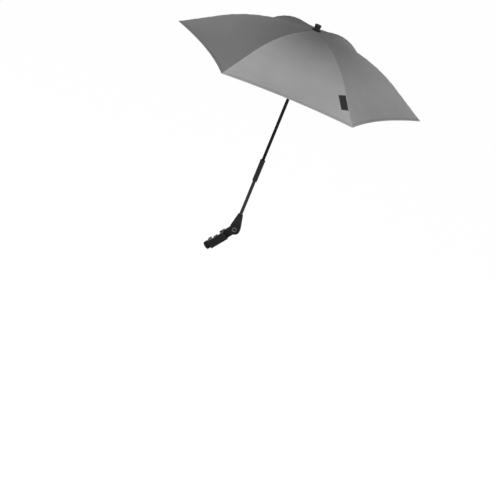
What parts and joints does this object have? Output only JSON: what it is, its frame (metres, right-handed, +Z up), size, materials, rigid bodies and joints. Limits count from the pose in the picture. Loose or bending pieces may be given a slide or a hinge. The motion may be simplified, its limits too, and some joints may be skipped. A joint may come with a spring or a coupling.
{
  "type": "pram parasol",
  "caption": "Folding fabric parasol for a pram, with a tilting pole, a sliding runner and a screw clamp that grips a frame tube.",
  "frame": {"origin": "centre of the frame tube that the clamp grips", "axes": "+Z up the upright pole, +X to the right of the picture's view, +Y away from it"},
  "size_m": [0.72, 0.6236, 0.7386],
  "materials": {
    "grey_fabric": "woven polyester, matte",
    "black_plastic": "fine moulded grain",
    "black_metal": "satin black coating",
    "steel": "plain steel",
    "black_rubber": "matte rubber",
    "fibre": "pressed fibre"
  },
  "bodies": {
    "clamp": {"clamp_body": "black_plastic", "clamp_liner": "black_rubber", "friction_washers": "fibre"},
    "shoe": {"clamp_shoe": "black_plastic", "shoe_pad": "black_rubber"},
    "screw": {"thumb_screw": "steel", "thumb_knob": "black_plastic"},
    "arm": {"yoke": "black_plastic", "pivot_bolt": "black_metal", "pivot_nut": "steel", "lower_rod": "black_metal", "socket_rivet": "steel", "tilt_knuckle": "black_plastic"},
    "pole": {"tilt_housing": "black_plastic", "tilt_pin": "steel", "friction_plug": "black_rubber", "housing_rivet": "steel", "upper_pole": "black_metal", "catch_anchor": "black_plastic", "crown": "black_plastic", "crown_pins": "steel", "finial": "black_plastic"},
    "catch": {"runner_catch": "steel"},
    "runner": {"runner": "black_plastic"},
    "rib_1": {"rib_1": "black_metal", "rib_clip_1": "black_plastic", "rib_tip_1": "black_plastic", "canopy_gore_1": "grey_fabric"},
    "rib_2": {"rib_2": "black_metal", "rib_clip_2": "black_plastic", "rib_tip_2": "black_plastic", "canopy_gore_2": "grey_fabric"},
    "rib_3": {"rib_3": "black_metal", "rib_clip_3": "black_plastic", "rib_tip_3": "black_plastic", "canopy_gore_3": "grey_fabric"},
    "rib_4": {"rib_4": "black_metal", "rib_clip_4": "black_plastic", "rib_tip_4": "black_plastic", "canopy_gore_4": "grey_fabric"},
    "rib_5": {"rib_5": "black_metal", "rib_clip_5": "black_plastic", "rib_tip_5": "black_plastic", "canopy_gore_5": "grey_fabric"},
    "rib_6": {"rib_6": "black_metal", "rib_clip_6": "black_plastic", "rib_tip_6": "black_plastic", "canopy_gore_6": "grey_fabric"},
    "stretcher_1": {"stretcher_1": "black_metal"},
    "stretcher_2": {"stretcher_2": "black_metal"},
    "stretcher_3": {"stretcher_3": "black_metal"},
    "stretcher_4": {"stretcher_4": "black_metal"},
    "stretcher_5": {"stretcher_5": "black_metal"},
    "stretcher_6": {"stretcher_6": "black_metal"}
  },
  "joints": [
    {"name": "shoe_slide", "type": "slide", "parent": "clamp", "child": "shoe", "axis": [0.5736, 0, 0.8192], "range_m": [-0.01, 0]},
    {"name": "knob_turn", "type": "hinge", "parent": "shoe", "child": "screw", "pos_m": [0, 0, 0], "axis": [0.5736, 0, 0.8192], "range_deg": [-1800, 0]},
    {"name": "arm_pivot", "type": "hinge", "parent": "clamp", "child": "arm", "pos_m": [0.02868, 0, 0.04096], "axis": [0, 1, 0], "range_deg": [-40, 110]},
    {"name": "pole_tilt", "type": "hinge", "parent": "arm", "child": "pole", "pos_m": [0.02868, 0, 0.20756], "axis": [-1, 0, 0], "range_deg": [0, 85]},
    {"name": "catch_press", "type": "hinge", "parent": "pole", "child": "catch", "pos_m": [0.02868, 0.0029, 0.51478], "axis": [1, 0, 0], "range_deg": [0, 2.3], "stiffness_Nm_per_rad": 4},
    {"name": "runner_slide", "type": "slide", "parent": "pole", "child": "runner", "axis": [0, 0, 1], "range_m": [-0.27146, 0], "deforming": ["runner_catch"]},
    {"name": "rib_fold_1", "type": "hinge", "parent": "pole", "child": "rib_1", "pos_m": [0.03868, 0, 0.66628], "axis": [0, 1, 0], "range_deg": [0, 67.23], "deforming": ["canopy_gore_1"]},
    {"name": "rib_fold_2", "type": "hinge", "parent": "pole", "child": "rib_2", "pos_m": [0.03368, 0.00866, 0.66628], "axis": [-0.866, 0.5, 0], "range_deg": [0, 67.23], "deforming": ["canopy_gore_2"]},
    {"name": "rib_fold_3", "type": "hinge", "parent": "pole", "child": "rib_3", "pos_m": [0.02368, 0.00866, 0.66628], "axis": [-0.866, -0.5, 0], "range_deg": [0, 67.23], "deforming": ["canopy_gore_3"]},
    {"name": "rib_fold_4", "type": "hinge", "parent": "pole", "child": "rib_4", "pos_m": [0.01868, 0, 0.66628], "axis": [0, -1, 0], "range_deg": [0, 67.23], "deforming": ["canopy_gore_4"]},
    {"name": "rib_fold_5", "type": "hinge", "parent": "pole", "child": "rib_5", "pos_m": [0.02368, -0.00866, 0.66628], "axis": [0.866, -0.5, 0], "range_deg": [0, 67.23], "deforming": ["canopy_gore_5"]},
    {"name": "rib_fold_6", "type": "hinge", "parent": "pole", "child": "rib_6", "pos_m": [0.03368, -0.00866, 0.66628], "axis": [0.866, 0.5, 0], "range_deg": [0, 67.23], "deforming": ["canopy_gore_6"]},
    {"name": "stretcher_fold_1", "type": "hinge", "parent": "rib_1", "child": "stretcher_1", "pos_m": [0.20723, 0, 0.63418], "axis": [0, 1, 0], "range_deg": [-134.44, 0]},
    {"name": "stretcher_fold_2", "type": "hinge", "parent": "rib_2", "child": "stretcher_2", "pos_m": [0.11795, 0.15463, 0.63418], "axis": [-0.866, 0.5, 0], "range_deg": [-134.44, 0]},
    {"name": "stretcher_fold_3", "type": "hinge", "parent": "rib_3", "child": "stretcher_3", "pos_m": [-0.0606, 0.15463, 0.63418], "axis": [-0.866, -0.5, 0], "range_deg": [-134.44, 0]},
    {"name": "stretcher_fold_4", "type": "hinge", "parent": "rib_4", "child": "stretcher_4", "pos_m": [-0.14987, 0, 0.63418], "axis": [0, -1, 0], "range_deg": [-134.44, 0]},
    {"name": "stretcher_fold_5", "type": "hinge", "parent": "rib_5", "child": "stretcher_5", "pos_m": [-0.0606, -0.15463, 0.63418], "axis": [0.866, -0.5, 0], "range_deg": [-134.44, 0]},
    {"name": "stretcher_fold_6", "type": "hinge", "parent": "rib_6", "child": "stretcher_6", "pos_m": [0.11795, -0.15463, 0.63418], "axis": [0.866, 0.5, 0], "range_deg": [-134.44, 0]}
  ],
  "couplings": [
    {"joint": "shoe_slide", "follows": "knob_turn", "m_per_rad": 0.00031831},
    {"joint": "rib_fold_1", "follows": "runner_slide", "rad_per_m": -4.3217},
    {"joint": "rib_fold_2", "follows": "runner_slide", "rad_per_m": -4.3217},
    {"joint": "rib_fold_3", "follows": "runner_slide", "rad_per_m": -4.3217},
    {"joint": "rib_fold_4", "follows": "runner_slide", "rad_per_m": -4.3217},
    {"joint": "rib_fold_5", "follows": "runner_slide", "rad_per_m": -4.3217},
    {"joint": "rib_fold_6", "follows": "runner_slide", "rad_per_m": -4.3217},
    {"joint": "stretcher_fold_1", "follows": "runner_slide", "rad_per_m": 8.6433},
    {"joint": "stretcher_fold_2", "follows": "runner_slide", "rad_per_m": 8.6433},
    {"joint": "stretcher_fold_3", "follows": "runner_slide", "rad_per_m": 8.6433},
    {"joint": "stretcher_fold_4", "follows": "runner_slide", "rad_per_m": 8.6433},
    {"joint": "stretcher_fold_5", "follows": "runner_slide", "rad_per_m": 8.6433},
    {"joint": "stretcher_fold_6", "follows": "runner_slide", "rad_per_m": 8.6433}
  ]
}
